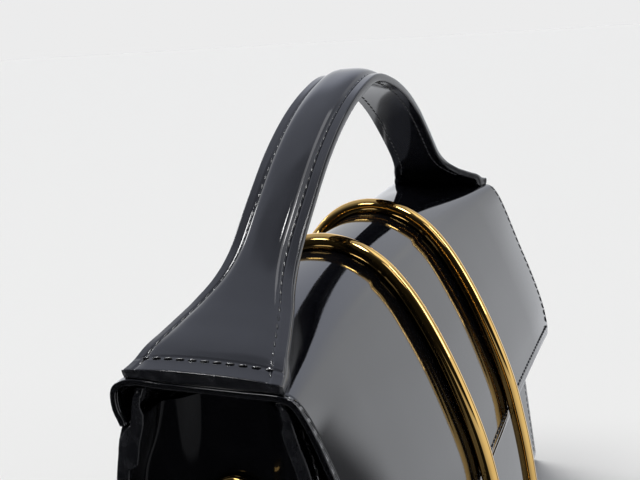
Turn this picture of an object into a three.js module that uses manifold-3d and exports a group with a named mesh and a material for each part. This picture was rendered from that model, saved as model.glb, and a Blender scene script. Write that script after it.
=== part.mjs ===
// A structured leather handbag with a flared top handle and a long gold loop over its flap.
// Millimetres, +Z up. The origin is the middle of the base, +X along the bag, -Y its front.
import * as THREE from "three";
import { mergeVertices } from "three/addons/utils/BufferGeometryUtils.js";
import Module from "manifold-3d";

const wasm = await Module();
wasm.setup();

// Driving dimensions
const bagLength = 250; // over the end edges of the flap
const topHeight = 149.5; // from the ground to the flat top of the flap at its ends
const baseHalf = 46.9; // half the body's depth at the ground
const mouthHalf = 23; // half the body's depth at its mouth
const endInset = 1; // from the flap's end edge to the body's end
const clearance = 0.3; // between pieces that touch

const wall = 2.4; // leather and lining of the panels
const cornerRadius = 4; // where a panel turns under the base
const turnUnder = 12; // width of the turned part
const seamDrop = 14.5; // from the flat top to the flap's seam on the back panel
const facingLap = 10; // the facing inside the back panel, below the seam
const facingTaper = 2;

const flapThickness = 2;
const flapDrop = 76; // from the flat top to the front bottom edge
const flapStandOff = 13.3; // air between the front panel and the flap's bottom edge
const flapEase = 0.8; // least air between the front panel and the flap
const shoulderEase = 1.3; // from the mouth to the shoulder of the flap
const rollBulge = 2; // how far the roll at the back stands out past its seam
const crown = 9.4; // rise of the flap's top at mid-length
const waist = 8.2; // how far the flap draws in at mid-length
const archPower = 2.2; // how evenly crown and waist spread along the bag

const handleRise = 64.2; // from the handle's sewn ends to its crest
const handleThickness = 3;
const handleEndThickness = 2.2;
const handleEndInset = 0.9; // from the flap's shoulder to the handle's flared end
const strapHalf = 11; // half the width of the strap
const stitchBand = 4; // flat edge outside the padding
const padRise = 2.2;
const padFade = 1.15; // how soon the padding ends along the flare

const tubeRadius = 3;
const tubeGap = 0.4; // between the tube and the flap
const armHalf = 27; // from mid-length to the middle of each arm
const loopCorner = 16;
const tailLength = 57; // of the loop, past the flap's bottom edge
const tailRadius = 340; // bend of that part

const gussetThickness = 1.6;
const gussetTopInset = 7.5; // below the mouth
const rimDepth = 8; // from the body's end to the gusset's outer folds
const foldDepth = 8; // how much deeper the middle lies at the mouth
const outerFoldShare = 0.35; // of that depth, at the folds beside the middle
const outerFoldPlace = 0.45; // share of the way from the middle's edge to the panel

const wireRadius = 1.25;
const ringHalf = 8.4; // to the middle of the wire
const ringSide = 4; // straight side between the bar's corner and the arch
const ringCorner = 2.2;
const ringLean = 7; // degrees, towards the gusset
const tabLeather = 1.4;
const tabLength = 20; // below the ring's bar
const tabTaper = 9; // where the two leaves come together
const tabSideGap = 0.4;
const ringDrop = 47.5; // from the flat top to the ring's bar
const ringRoom = 0.7; // flat leather beyond the ring on each side

const snapRadius = 7;
const snapRise = 33.5; // from the flap's bottom edge to the snap's middle

// How finely round shapes are faceted
const flapSteps = 2; // between two rows
const flapStations = 24;
const handleStations = 52;
const tailSteps = 4;
const tubeStations = 166;
const tubeSides = 12;
const wireStations = 44;
const wireSides = 8;
const snapSides = 20;
const cornerSteps = 4;

// The panels' outer face: up is a share of the body's height, out of the way from mouth to base.
const wallRows = [
  { up: 0, out: 1 },
  { up: 0.27, out: 0.8 },
  { up: 0.5, out: 0.63 },
  { up: 0.8, out: 0.335 },
  { up: 0.89, out: 0.215 },
  { up: 0.92, out: 0.15 },
  { up: 0.965, out: 0.085 },
  { up: 1, out: 0 },
];

// The flap's outer face from its seam to its front edge.
// across: share of the top's half depth. seam: share of the way from there to the seam's depth.
// bulge: share of rollBulge. forward: share of the way from the shoulder to the front edge.
// down: share of the drop on its side. draw: share of waist and rise: of crown, at mid-length.
const flapRows = [
  { across: 1, seam: 1, bulge: 0, forward: 0, down: 1, draw: 0, rise: 0 },
  { across: 1, seam: 1, bulge: 0.95, forward: 0, down: 0.62, draw: 0.07, rise: -0.04 },
  { across: 1, seam: 1, bulge: 0.6, forward: 0, down: 0.2, draw: 0.42, rise: 0.06 },
  { across: 0.95, seam: 0, bulge: 0, forward: 0, down: 0, draw: 0.7, rise: 0.53 },
  { across: 0.45, seam: 0, bulge: 0, forward: 0, down: 0, draw: 0.12, rise: 0.93 },
  { across: 0, seam: 0, bulge: 0, forward: 0, down: 0, draw: 0, rise: 0.98 },
  { across: -0.5, seam: 0, bulge: 0, forward: 0, down: 0, draw: 0.56, rise: 0.74 },
  { across: -0.94, seam: 0, bulge: 0, forward: 0, down: 0, draw: 0.85, rise: 0.18 },
  { across: -1, seam: 0, bulge: 0, forward: 0.06, down: 0.014, draw: 0.98, rise: 0 },
  { across: -1, seam: 0, bulge: 0, forward: 0.15, down: 0.055, draw: 1, rise: 0 },
  { across: -1, seam: 0, bulge: 0, forward: 0.26, down: 0.14, draw: 0.86, rise: 0 },
  { across: -1, seam: 0, bulge: 0, forward: 0.485, down: 0.367, draw: 0.55, rise: 0 },
  { across: -1, seam: 0, bulge: 0, forward: 0.755, down: 0.634, draw: 0.48, rise: 0 },
  { across: -1, seam: 0, bulge: 0, forward: 0.917, down: 0.829, draw: 0.42, rise: 0 },
  { across: -1, seam: 0, bulge: 0, forward: 1, down: 1, draw: 0.295, rise: 0 },
];
const rollRow = 1; // the row where the roll stands out most

// The handle's upper face from a sewn end to the crest.
// along: share of half the bag's length. rise: share of handleRise.
// flare: share of the way from the strap's width to the end's width.
const handleRows = [
  { along: 0, rise: 0, flare: 1 },
  { along: 0.03, rise: 0.022, flare: 0.92 },
  { along: 0.07, rise: 0.072, flare: 0.8 },
  { along: 0.14, rise: 0.126, flare: 0.59 },
  { along: 0.21, rise: 0.18, flare: 0.37 },
  { along: 0.278, rise: 0.246, flare: 0.14 },
  { along: 0.342, rise: 0.33, flare: 0.02 },
  { along: 0.46, rise: 0.522, flare: 0 },
  { along: 0.58, rise: 0.704, flare: 0 },
  { along: 0.714, rise: 0.852, flare: 0 },
  { along: 0.858, rise: 0.953, flare: 0 },
  { along: 1, rise: 1, flare: 0 },
];

// The padding's height across the strap: at is a share of the padded half width.
const padRows = [
  { at: -1, height: 0 },
  { at: -0.88, height: 0.45 },
  { at: -0.62, height: 0.82 },
  { at: -0.3, height: 0.97 },
  { at: 0, height: 1 },
  { at: 0.3, height: 0.97 },
  { at: 0.62, height: 0.82 },
  { at: 0.88, height: 0.45 },
  { at: 1, height: 0 },
];

const v2 = (x, y) => new THREE.Vector2(x, y);
const v3 = (x, y, z) => new THREE.Vector3(x, y, z);
const mix = THREE.MathUtils.lerp;

// Derived places
const halfLength = bagLength / 2;
const bodyHalf = halfLength - endInset;
const bodyHeight = topHeight - flapThickness - clearance;
const topHalf = mouthHalf + shoulderEase;
const handleEndHalf = topHalf - handleEndInset;
const seamStep = flapThickness + 2 * clearance;
const flapBottom = topHeight - flapDrop;
const seamHeight = topHeight - seamDrop;
const ringHeight = topHeight - ringDrop;
const snapHeight = flapBottom + snapRise;
const middleness = (x) => 1 - Math.pow(Math.min(1, Math.abs(x) / halfLength), archPower);

// Straight line through rows that rise in key: the value at one place.
function along(rows, key, value, at) {
  let i = 1;
  while (i < rows.length - 1 && rows[i][key] < at) i += 1;
  const a = rows[i - 1];
  const b = rows[i];
  const t = THREE.MathUtils.clamp((at - a[key]) / (b[key] - a[key]), 0, 1);
  return mix(a[value], b[value], t);
}

// A closed solid from a list of closed sections with equal counts.
// flat gives a section point's two coordinates for the end caps.
function loft(sections, flat) {
  const count = sections[0].length;
  const last = (sections.length - 1) * count;
  const index = [];
  for (let s = 0; s < last; s += count)
    for (let i = 0; i < count; i += 1) {
      const j = (i + 1) % count;
      index.push(s + i, s + j, s + count + j, s + i, s + count + j, s + count + i);
    }
  for (const [a, b, c] of capFaces(sections[0].map(flat))) index.push(a, c, b);
  for (const [a, b, c] of capFaces(sections.at(-1).map(flat)))
    index.push(last + a, last + b, last + c);
  const geometry = new THREE.BufferGeometry().setFromPoints(sections.flat());
  geometry.setIndex(index);
  return facingOut(geometry);
}

// Triangles of a closed outline that turn the way the outline runs.
function capFaces(outline) {
  const faces = THREE.ShapeUtils.triangulateShape(outline, []);
  return THREE.ShapeUtils.isClockWise(outline) ? faces.map(([a, b, c]) => [a, c, b]) : faces;
}

// Turns every face round where a closed mesh encloses a negative volume.
function facingOut(geometry) {
  const p = geometry.getAttribute("position");
  const index = geometry.getIndex().array;
  const corner = (k) => new THREE.Vector3().fromBufferAttribute(p, index[k]);
  let volume = 0;
  for (let k = 0; k < index.length; k += 3)
    volume += corner(k).dot(corner(k + 1).cross(corner(k + 2)));
  if (volume < 0)
    for (let k = 0; k < index.length; k += 3)
      [index[k + 1], index[k + 2]] = [index[k + 2], index[k + 1]];
  return geometry;
}

function solid(geometry) {
  const plain = geometry.clone();
  plain.deleteAttribute("normal");
  plain.deleteAttribute("uv");
  const merged = facingOut(mergeVertices(plain, 1e-3));
  return new wasm.Manifold(
    new wasm.Mesh({
      numProp: 3,
      vertProperties: merged.getAttribute("position").array,
      triVerts: new Uint32Array(merged.getIndex().array),
    }),
  );
}

function geometryOf(manifold) {
  const mesh = manifold.getMesh();
  const geometry = new THREE.BufferGeometry();
  geometry.setAttribute("position", new THREE.BufferAttribute(mesh.vertProperties, 3));
  geometry.setIndex(new THREE.BufferAttribute(mesh.triVerts, 1));
  return geometry;
}

// The body's panels
const wallOut = (z) =>
  mouthHalf + (baseHalf - mouthHalf) * along(wallRows, "up", "out", z / bodyHeight);
const flapReach = wallOut(flapBottom) + flapStandOff + flapThickness;
const seamOut = wallOut(seamHeight);

// The flap's outer face at one place along the bag, as (y, z) points from the seam on.
function flapFace(x) {
  const m = middleness(x);
  const rows = flapRows.map((row) => {
    const back = row.across > 0;
    const drop = back ? seamDrop - clearance : flapDrop;
    const plainY =
      mix(row.across * topHalf, seamOut, row.seam) +
      row.bulge * rollBulge -
      row.forward * (flapReach - topHalf);
    const y = plainY - Math.sign(row.across) * row.draw * waist * m;
    return v3(y, topHeight - row.down * drop + row.rise * crown * m, 0);
  });
  const curve = new THREE.CatmullRomCurve3(rows, false, "centripetal");
  return curve.getPoints((rows.length - 1) * flapSteps).map((p) => v2(p.x, p.y));
}

// A line of (y, z) points moved sideways: inwards for a positive distance.
function moved(points, distance) {
  return points.map((p, i) => {
    const a = points[Math.max(0, i - 1)];
    const b = points[Math.min(points.length - 1, i + 1)];
    const t = b.clone().sub(a).normalize();
    return v2(p.x - t.y * distance, p.y + t.x * distance);
  });
}

// Depth in front of mid-depth of the flap's inner face at one height.
function flapInside(x, z) {
  const line = moved(flapFace(x), flapThickness);
  const front = line.slice(Math.ceil(line.length / 3)).filter((p) => p.x < 0);
  for (let i = 1; i < front.length; i += 1)
    if (front[i].y <= z) {
      const t = (z - front[i - 1].y) / (front[i].y - front[i - 1].y);
      return -mix(front[i - 1].x, front[i].x, THREE.MathUtils.clamp(t, 0, 1));
    }
  return Infinity;
}

const frontOut = (x, z) => Math.min(wallOut(z), flapInside(x, z) - flapEase);

// Inner face of the back panel, with the facing that the flap's seam is sewn through.
function backIn(z) {
  const start = seamHeight - facingLap;
  const share = THREE.MathUtils.clamp((z - start + facingTaper) / facingTaper, 0, 1);
  return wallOut(z) - wall - seamStep * share;
}

const wallHeights = wallRows.map((row) => row.up * bodyHeight);
const facingHeights = [seamHeight - facingLap - facingTaper, seamHeight - facingLap];
const footHalf = wallOut(cornerRadius);

// The turned-under foot of a panel, from its wall's outer face to its inner corner.
function footLine(side) {
  const middle = footHalf - cornerRadius;
  const arc = [];
  for (let i = 0; i <= cornerSteps; i += 1) {
    const a = ((i / cornerSteps) * Math.PI) / 2;
    const out = middle + cornerRadius * Math.cos(a);
    arc.push(v2(side * out, cornerRadius * (1 - Math.sin(a))));
  }
  const edge = footHalf - turnUnder;
  return [...arc, v2(side * edge, 0), v2(side * edge, wall), v2(side * (footHalf - wall), wall)];
}

const climbing = (a, b) => a - b;
const aboveFoot = (z) => z > cornerRadius + wall;

function frontPanel() {
  const heights = wallHeights.filter(aboveFoot).sort(climbing);
  const sections = [];
  for (let i = 0; i <= flapStations; i += 1) {
    const x = mix(-bodyHalf, bodyHalf, i / flapStations);
    const outer = heights.toReversed().map((z) => v2(-frontOut(x, z), z));
    const inner = heights.map((z) => v2(wall - frontOut(x, z), z));
    sections.push([...outer, ...footLine(-1), ...inner].map((p) => v3(x, p.x, p.y)));
  }
  return loft(sections, (p) => v2(p.y, p.z));
}

function backPanel() {
  const heights = wallHeights.filter(aboveFoot);
  const low = heights.filter((z) => z < seamHeight);
  const high = heights.filter((z) => z > seamHeight);
  const outer = [
    ...high.toSorted((a, b) => b - a).map((z) => v2(wallOut(z) - seamStep, z)),
    v2(seamOut - seamStep, seamHeight),
    v2(seamOut, seamHeight),
    ...low.toSorted((a, b) => b - a).map((z) => v2(wallOut(z), z)),
  ];
  const inner = [...heights, ...facingHeights].sort(climbing).map((z) => v2(backIn(z), z));
  const line = [...outer, ...footLine(1), ...inner];
  const ends = [-bodyHalf, bodyHalf];
  return loft(
    ends.map((x) => line.map((p) => v3(x, p.x, p.y))),
    (p) => v2(p.y, p.z),
  );
}

function basePanel() {
  const half = footHalf - turnUnder - clearance;
  const geometry = new THREE.BoxGeometry(2 * bodyHalf, 2 * half, wall);
  geometry.translate(0, 0, wall / 2);
  return geometry;
}

function flap() {
  const sections = [];
  for (let i = 0; i <= flapStations; i += 1) {
    const x = mix(-halfLength, halfLength, i / flapStations);
    const outer = flapFace(x);
    const inner = moved(outer, flapThickness).reverse();
    sections.push([...outer, ...inner].map((p) => v3(x, p.x, p.y)));
  }
  return loft(sections, (p) => v2(p.y, p.z));
}

// The gussets, each a folded sheet with a rim on the panels and on the base
const gussetBottom = wall + clearance;
const gussetTop = bodyHeight - gussetTopInset;
const gussetReach = rimDepth + foldDepth + gussetThickness;
const flatHalf = ringHalf + wireRadius + ringRoom;
const foldAt = (z) => foldDepth * (z / bodyHeight);

// One level of the gusset's block (inset 0) or of the hollow in it, as (x, y) points.
function gussetLevel(z, inset, end) {
  const front = frontOut(bodyHalf - gussetReach, z) - wall - clearance - inset;
  const back = backIn(z) - clearance - inset;
  const depth = rimDepth + gussetThickness - inset;
  const crease = (edge) => mix(flatHalf, edge, outerFoldPlace);
  return [
    v2(end, -front),
    v2(end, back),
    v2(bodyHalf - depth, back),
    v2(bodyHalf - depth - outerFoldShare * foldAt(z), crease(back)),
    v2(bodyHalf - depth - foldAt(z), flatHalf),
    v2(bodyHalf - depth - foldAt(z), -flatHalf),
    v2(bodyHalf - depth - outerFoldShare * foldAt(z), -crease(front)),
    v2(bodyHalf - depth, -front),
  ];
}

function gusset(side) {
  const between = [...wallHeights, ...facingHeights]
    .filter((z) => z > gussetBottom + gussetThickness && z < gussetTop)
    .sort(climbing);
  const place = (z, drawnAt, inset, end) =>
    gussetLevel(z, inset, end).map((p) => v3(side * p.x, p.y, drawnAt));
  const top = gussetTop + clearance;
  const past = bodyHalf + rimDepth;
  const inset = gussetThickness;
  const block = [gussetBottom, ...between, gussetTop].map((z) => place(z, z, 0, bodyHalf));
  const hollow = [gussetBottom + inset, ...between].map((z) => place(z, z, inset, past));
  hollow.push(place(gussetTop, gussetTop, inset, past), place(gussetTop, top, inset, past));
  const flat = (p) => v2(p.x, p.y);
  return geometryOf(solid(loft(block, flat)).subtract(solid(loft(hollow, flat))));
}

// The handle
function handleTopAt(x) {
  const highest = Math.max(...flapFace(x).map((p) => p.y));
  return highest + clearance;
}

function handle() {
  const base = handleTopAt(halfLength) + handleEndThickness;
  const half = handleRows.map((row) =>
    v3(
      -halfLength * (1 - row.along),
      mix(strapHalf, handleEndHalf, row.flare),
      base + handleRise * row.rise,
    ),
  );
  const other = half.slice(0, -1).reverse();
  const points = [...half, ...other.map((p) => v3(-p.x, p.y, p.z))];
  const curve = new THREE.CatmullRomCurve3(points, false, "centripetal");
  const sections = [];
  for (let i = 0; i <= handleStations; i += 1) {
    const u = i / handleStations;
    const p = curve.getPoint(u);
    const t = curve.getTangent(u).setY(0).normalize();
    const up = v3(-t.z, 0, t.x);
    const room = (p.z - handleTopAt(p.x)) / up.z;
    const thick = Math.min(handleThickness, room);
    const flare = (p.y - strapHalf) / (handleEndHalf - strapHalf);
    const pad = padRise * THREE.MathUtils.clamp(1 - padFade * flare, 0, 1);
    const padded = p.y - stitchBand;
    const top = padRows.map((row) => v2(row.at * padded, row.height * pad));
    const line = [v2(-p.y, -thick), v2(-p.y, 0), ...top, v2(p.y, 0), v2(p.y, -thick)];
    sections.push(line.map((q) => v3(p.x, q.x, p.z).addScaledVector(up, q.y)));
  }
  return loft(sections, (p) => v2(p.y, p.z));
}

// The gold loop: a rounded rectangle laid along the flap's profile
class Wrapped extends THREE.Curve {
  constructor(outline, place) {
    super();
    this.outline = outline;
    this.place = place;
  }
  getPoint(t) {
    const p = this.outline.getPointAt(t % 1);
    return this.place(p.x, p.y);
  }
}

// A closed outline with straight sides and round corners, for a ring of wire or tube.
function roundedOutline(half, low, high, lowCorner, highCorner) {
  const path = new THREE.Path();
  const turn = Math.PI / 2;
  path.absarc(half - lowCorner, low + lowCorner, lowCorner, -turn, 0);
  path.absarc(half - highCorner, high - highCorner, highCorner, 0, turn);
  path.absarc(highCorner - half, high - highCorner, highCorner, turn, 2 * turn);
  path.absarc(lowCorner - half, low + lowCorner, lowCorner, 2 * turn, 3 * turn);
  path.closePath();
  return path;
}

function loopLine() {
  const face = flapFace(armHalf).slice(rollRow * flapSteps);
  const line = moved(face, -(tubeRadius + tubeGap));
  const end = line.at(-1);
  const before = line.at(-2);
  const start = Math.atan2(before.x - end.x, before.y - end.y);
  for (let i = 1; i <= tailSteps; i += 1) {
    const s = (i / tailSteps) * tailLength;
    const angle = start - s / (2 * tailRadius);
    line.push(v2(end.x - s * Math.sin(angle), end.y - s * Math.cos(angle)));
  }
  return new THREE.CatmullRomCurve3(line.map((p) => v3(0, p.x, p.y)), false, "centripetal");
}

function goldLoop() {
  const line = loopLine();
  const length = line.getLength();
  const outline = roundedOutline(armHalf, 0, length, loopCorner, loopCorner);
  const tube = new Wrapped(outline, (x, s) =>
    line.getPointAt(THREE.MathUtils.clamp(s / length, 0, 1)).setX(x),
  );
  return new THREE.TubeGeometry(tube, tubeStations, tubeRadius, tubeSides, true);
}

// The snap fills the room between the flap and the front panel
function snap() {
  const rim = (depth) => {
    const points = [];
    for (let i = 0; i < snapSides; i += 1) {
      const a = (i / snapSides) * 2 * Math.PI;
      const x = snapRadius * Math.cos(a);
      const z = snapHeight + snapRadius * Math.sin(a);
      points.push(v3(x, depth(x, z), z));
    }
    return points;
  };
  const onFlap = rim((x, z) => 2 * clearance - flapInside(x, z));
  const onPanel = rim((x, z) => -frontOut(0, z) - 2 * clearance);
  return loft([onFlap, onPanel], (p) => v2(p.x, p.z));
}

// Ring and tab, in a frame at the ring's bar: x away from the gusset, y along the bar, z up
const boreRadius = wireRadius + clearance;
const loopOuter = boreRadius + tabLeather;
const barOut = clearance + loopOuter; // from the gusset's face to the bar
const tabHalf = ringHalf - ringCorner - tabSideGap;

function ringWire() {
  const outline = roundedOutline(ringHalf, 0, ringHalf + ringSide, ringCorner, ringHalf);
  const curve = new Wrapped(outline, (across, up) => v3(0, across, up));
  return new THREE.TubeGeometry(curve, wireStations, wireRadius, wireSides, true);
}

function tabLeaf() {
  const shape = new THREE.Shape();
  shape.moveTo(-loopOuter, -tabLength);
  shape.lineTo(2 * tabLeather - loopOuter, -tabLength);
  shape.lineTo(2 * tabLeather - loopOuter, -tabTaper);
  shape.absarc(0, 0, loopOuter, 0, Math.PI, false);
  shape.closePath();
  const bore = new THREE.Path().absarc(0, 0, boreRadius, 0, 2 * Math.PI, true);
  shape.holes.push(bore);
  const settings = { depth: 2 * tabHalf, bevelEnabled: false, curveSegments: tubeSides };
  const geometry = new THREE.ExtrudeGeometry(shape, settings);
  geometry.translate(0, 0, -tabHalf);
  geometry.rotateX(Math.PI / 2);
  return geometry;
}

function tabAndRing(side, name) {
  const face = bodyHalf - rimDepth - foldAt(ringHeight);
  const slope = Math.atan2(foldDepth, bodyHeight);
  const group = new THREE.Group();
  group.position.set(side * (face + barOut / Math.cos(slope)), 0, ringHeight);
  group.rotation.z = side > 0 ? 0 : Math.PI;
  const tilted = new THREE.Group();
  tilted.rotation.y = -slope;
  const ring = new THREE.Mesh(ringWire(), gold());
  ring.name = name + "_ring";
  ring.rotation.y = -THREE.MathUtils.degToRad(ringLean);
  const tab = new THREE.Mesh(tabLeaf(), leather(0x101014));
  tab.name = name + "_tab";
  tilted.add(ring, tab);
  group.add(tilted);
  return group;
}

const leather = (color) =>
  new THREE.MeshStandardMaterial({ color, roughness: 0.12, metalness: 0 });
const gold = () =>
  new THREE.MeshStandardMaterial({ color: 0xd8ac50, roughness: 0.08, metalness: 1 });

function piece(name, geometry, material) {
  const mesh = new THREE.Mesh(geometry, material);
  mesh.name = name;
  return mesh;
}

const handbag = new THREE.Group();
handbag.add(
  piece("front_panel", frontPanel(), leather(0x16171b)),
  piece("back_panel", backPanel(), leather(0x16171b)),
  piece("base_panel", basePanel(), leather(0x141519)),
  piece("left_gusset", gusset(-1), leather(0x0c0c10)),
  piece("right_gusset", gusset(1), leather(0x0c0c10)),
  piece("flap", flap(), leather(0x1b1c21)),
  piece("handle", handle(), leather(0x202228)),
  piece("loop", goldLoop(), gold()),
  piece("snap", snap(), gold()),
  tabAndRing(-1, "left"),
  tabAndRing(1, "right"),
);

export default handbag;
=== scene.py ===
import math

import bmesh
import bpy
from mathutils import Matrix, Vector, geometry


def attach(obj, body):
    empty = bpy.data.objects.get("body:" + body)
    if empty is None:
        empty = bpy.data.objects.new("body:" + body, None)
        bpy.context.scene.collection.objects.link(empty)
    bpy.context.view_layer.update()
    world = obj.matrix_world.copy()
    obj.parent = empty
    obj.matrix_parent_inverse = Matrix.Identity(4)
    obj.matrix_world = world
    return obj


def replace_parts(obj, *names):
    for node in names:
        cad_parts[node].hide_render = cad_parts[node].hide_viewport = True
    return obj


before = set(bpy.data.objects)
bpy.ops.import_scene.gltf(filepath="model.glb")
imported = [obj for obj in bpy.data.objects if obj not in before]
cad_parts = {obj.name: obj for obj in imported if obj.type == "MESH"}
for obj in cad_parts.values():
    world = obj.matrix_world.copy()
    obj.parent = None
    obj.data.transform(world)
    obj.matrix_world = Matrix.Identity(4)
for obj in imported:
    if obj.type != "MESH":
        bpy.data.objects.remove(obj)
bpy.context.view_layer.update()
mm = 0.001  # sizes below are in millimetres, the scene is in metres
print("frame:", len(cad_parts), "nodes")


# Camera

camera = {
    "place": (-304.53, -112.27, 242.57),
    "yaw": 0.39906,
    "pitch": -0.26264,
    "roll": -0.0753,
    "lens": 49.56,
}


def makeCamera(sizes):
    yaw, pitch, roll = sizes["yaw"], sizes["pitch"], sizes["roll"]
    flat = math.cos(pitch)
    forward = Vector((flat * math.cos(yaw), flat * math.sin(yaw), math.sin(pitch)))
    level = forward.cross(Vector((0, 0, 1))).normalized()
    rise = level.cross(forward)
    right = math.cos(roll) * level + math.sin(roll) * rise
    up = math.cos(roll) * rise - math.sin(roll) * level
    data = bpy.data.cameras.new("photoCamera")
    data.sensor_width = 36
    data.lens = sizes["lens"]
    eye = bpy.data.objects.new("photoCamera", data)
    turn = Matrix((right, up, -forward)).transposed().to_4x4()
    eye.matrix_world = Matrix.Translation(Vector(sizes["place"]) * mm) @ turn
    bpy.context.scene.collection.objects.link(eye)
    bpy.context.scene.camera = eye


makeCamera(camera)
print("camera")


# Shader maths


class Value:  # a socket that takes part in plain arithmetic
    def __init__(self, paint, socket):
        self.paint = paint
        self.socket = socket

    def maths(self, operation, first, second=0.0):
        return self.paint.add("ShaderNodeMath", {"operation": operation}, {0: first, 1: second})

    def __add__(self, other):
        return self.maths("ADD", self, other)

    def __radd__(self, other):
        return self.maths("ADD", other, self)

    def __sub__(self, other):
        return self.maths("SUBTRACT", self, other)

    def __rsub__(self, other):
        return self.maths("SUBTRACT", other, self)

    def __mul__(self, other):
        return self.maths("MULTIPLY", self, other)

    def __rmul__(self, other):
        return self.maths("MULTIPLY", other, self)

    def __truediv__(self, other):
        return self.maths("DIVIDE", self, other)

    def __abs__(self):
        return self.maths("ABSOLUTE", self)

    def higher(self, other):
        return self.maths("MAXIMUM", self, other)


class Paint:  # one material, or the room's glow, and its nodes
    def __init__(self, name, kind="materials", place="Object"):
        self.owner = getattr(bpy.data, kind).new(name)
        self.owner.use_nodes = True
        self.tree = self.owner.node_tree
        self.tree.nodes.clear()
        self.place = self.add("ShaderNodeTexCoord", output=place)

    def add(self, kind, settings=None, values=None, output=0):
        node = self.tree.nodes.new(kind)
        for key, setting in (settings or {}).items():
            if key == "stops":
                self.setStops(node.color_ramp, setting)
            else:
                setattr(node, key, setting)
        for key, value in (values or {}).items():
            if isinstance(value, Value):
                self.tree.links.new(value.socket, node.inputs[key])
            else:
                node.inputs[key].default_value = value
        return Value(self, node.outputs[output]) if len(node.outputs) else node

    def setStops(self, ramp, stops):
        ramp.interpolation = "EASE"
        while len(ramp.elements) < len(stops):
            ramp.elements.new(1)
        for element, (position, shade) in zip(ramp.elements, stops):
            element.position = position
            element.color = (*shade, 1)

    def axis(self, name):
        return self.add("ShaderNodeSeparateXYZ", None, {0: self.place}, output=name)

    def noise(self, size, detail=3.0, rough=0.5, stretch=None):  # size is a bump's width in millimetres
        spot = self.place
        if stretch:
            spot = self.add("ShaderNodeMapping", None, {0: spot, "Scale": stretch})
        values = {"Vector": spot, "Scale": 1 / (size * mm), "Detail": detail, "Roughness": rough}
        return self.add("ShaderNodeTexNoise", {"noise_dimensions": "3D"}, values)

    def between(self, value, low, high, start=0.0, end=1.0):  # value from low to high becomes start to end
        values = {0: value, 1: low, 2: high, 3: start, 4: end}
        return self.add("ShaderNodeMapRange", {"clamp": True}, values)

    def smooth(self, value, low, high):
        values = {0: value, 1: low, 2: high, 3: 0.0, 4: 1.0}
        return self.add("ShaderNodeMapRange", {"clamp": True, "interpolation_type": "SMOOTHSTEP"}, values)

    def blend(self, share, first, second):  # colours
        values = {0: share, 6: first, 7: second}
        return self.add("ShaderNodeMix", {"data_type": "RGBA"}, values, output=2)

    def ridge(self, value, middle, half):  # 1 at the middle, 0 past half its width away
        return 1 - self.smooth(abs(value - middle), 0.0, half)

    def bump(self, height, depth, before=None):  # depth in millimetres for a height of 1
        values = {"Height": height, "Strength": 1.0, "Distance": depth * mm}
        if before:
            values["Normal"] = before
        return self.add("ShaderNodeBump", None, values)

    def finish(self, values):
        shader = self.add("ShaderNodeBsdfPrincipled", None, values)
        self.add("ShaderNodeOutputMaterial", None, {"Surface": shader})
        return self.owner


leather = {
    "black": (0.004, 0.0042, 0.0056, 1),
    "worn": (0.012, 0.0125, 0.015, 1),
    "poreSize": 0.55,
    "poreDepth": 0.006,
    "waveSize": 26,
    "waveDepth": 0.09,
    "smudgeSize": 34,
    "speckSize": 1.3,
    "wearSize": 9,
    "wearShare": 0.35,
    "gloss": 0.035,
    "smudged": 0.075,
    "grooveHalf": 0.55,
    "grooveDepth": 0.16,
}


def leatherPaint(name, sizes, grooves=None, lightTint=1.0, gloss=1.0, form=None, index=1.94):
    paint = Paint(name)
    pores = paint.noise(sizes["poreSize"], 2.0)
    waves = paint.noise(sizes["waveSize"], 1.0, 0.4)
    smudges = paint.between(paint.noise(sizes["smudgeSize"], 5.0, 0.62), 0.42, 0.68)
    specks = paint.between(paint.noise(sizes["speckSize"], 1.0), 0.74, 0.8)
    normal = paint.bump(waves, sizes["waveDepth"])
    normal = paint.bump(pores, sizes["poreDepth"], normal)
    wear = paint.between(paint.noise(sizes["wearSize"], 4.0, 0.7), 0.5, 0.85) * sizes["wearShare"]
    if form:
        normal = paint.bump(form(paint), 1, normal)
    if grooves:
        groove = grooves(paint)
        normal = paint.bump(1 - groove, sizes["grooveDepth"], normal)
        wear = wear.higher(groove * 0.6)
    # The base colours are scaled here: a factor above 1 paints a sheen onto the same leather, a factor below
    # 1 paints shade onto it.
    shade, pale = ([c * lightTint for c in sizes[name][:3]] + [1] for name in ("black", "worn"))
    polished, smudged = sizes["gloss"] * gloss, sizes["smudged"] * gloss
    return paint.finish({
        "Base Color": paint.blend(wear, shade, pale),
        "Roughness": paint.between(smudges + specks * 0.4, 0, 1, polished, smudged),
        "Specular IOR Level": 0.5,
        "IOR": index,
        "Normal": normal,
    })


gold = {
    "bright": (0.93, 0.6, 0.2, 1),
    "deep": (0.82, 0.49, 0.14, 1),
    "scratchSize": 1.1,
    "scratchDepth": 0.0006,
    "filmSize": 15,
    "polished": 0.012,
    "dulled": 0.05,
}


def goldPaint(name, sizes, satin=0.0):
    paint = Paint(name)
    film = paint.between(paint.noise(sizes["filmSize"], 4.0, 0.6), 0.4, 0.75)
    scratches = paint.noise(sizes["scratchSize"], 3.0, 0.6, (1, 1, 0.12))
    normal = paint.bump(scratches, sizes["scratchDepth"] * (1 + 6 * satin))
    rough = paint.between(film, 0, 1, sizes["polished"] + satin * 0.2, sizes["dulled"] + satin * 0.25)
    return paint.finish({
        "Base Color": paint.blend(film * 0.6, sizes["bright"], sizes["deep"]),
        "Metallic": 1.0,
        "Roughness": rough,
        "Normal": normal,
    })


thread = {
    "dark": (0.006, 0.0065, 0.008, 1),
    "waxed": (0.02, 0.021, 0.025, 1),
    "plySize": 0.32,
    "plyDepth": 0.05,
    "waxSize": 2.2,
    "rough": (0.4, 0.16),
}


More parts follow.
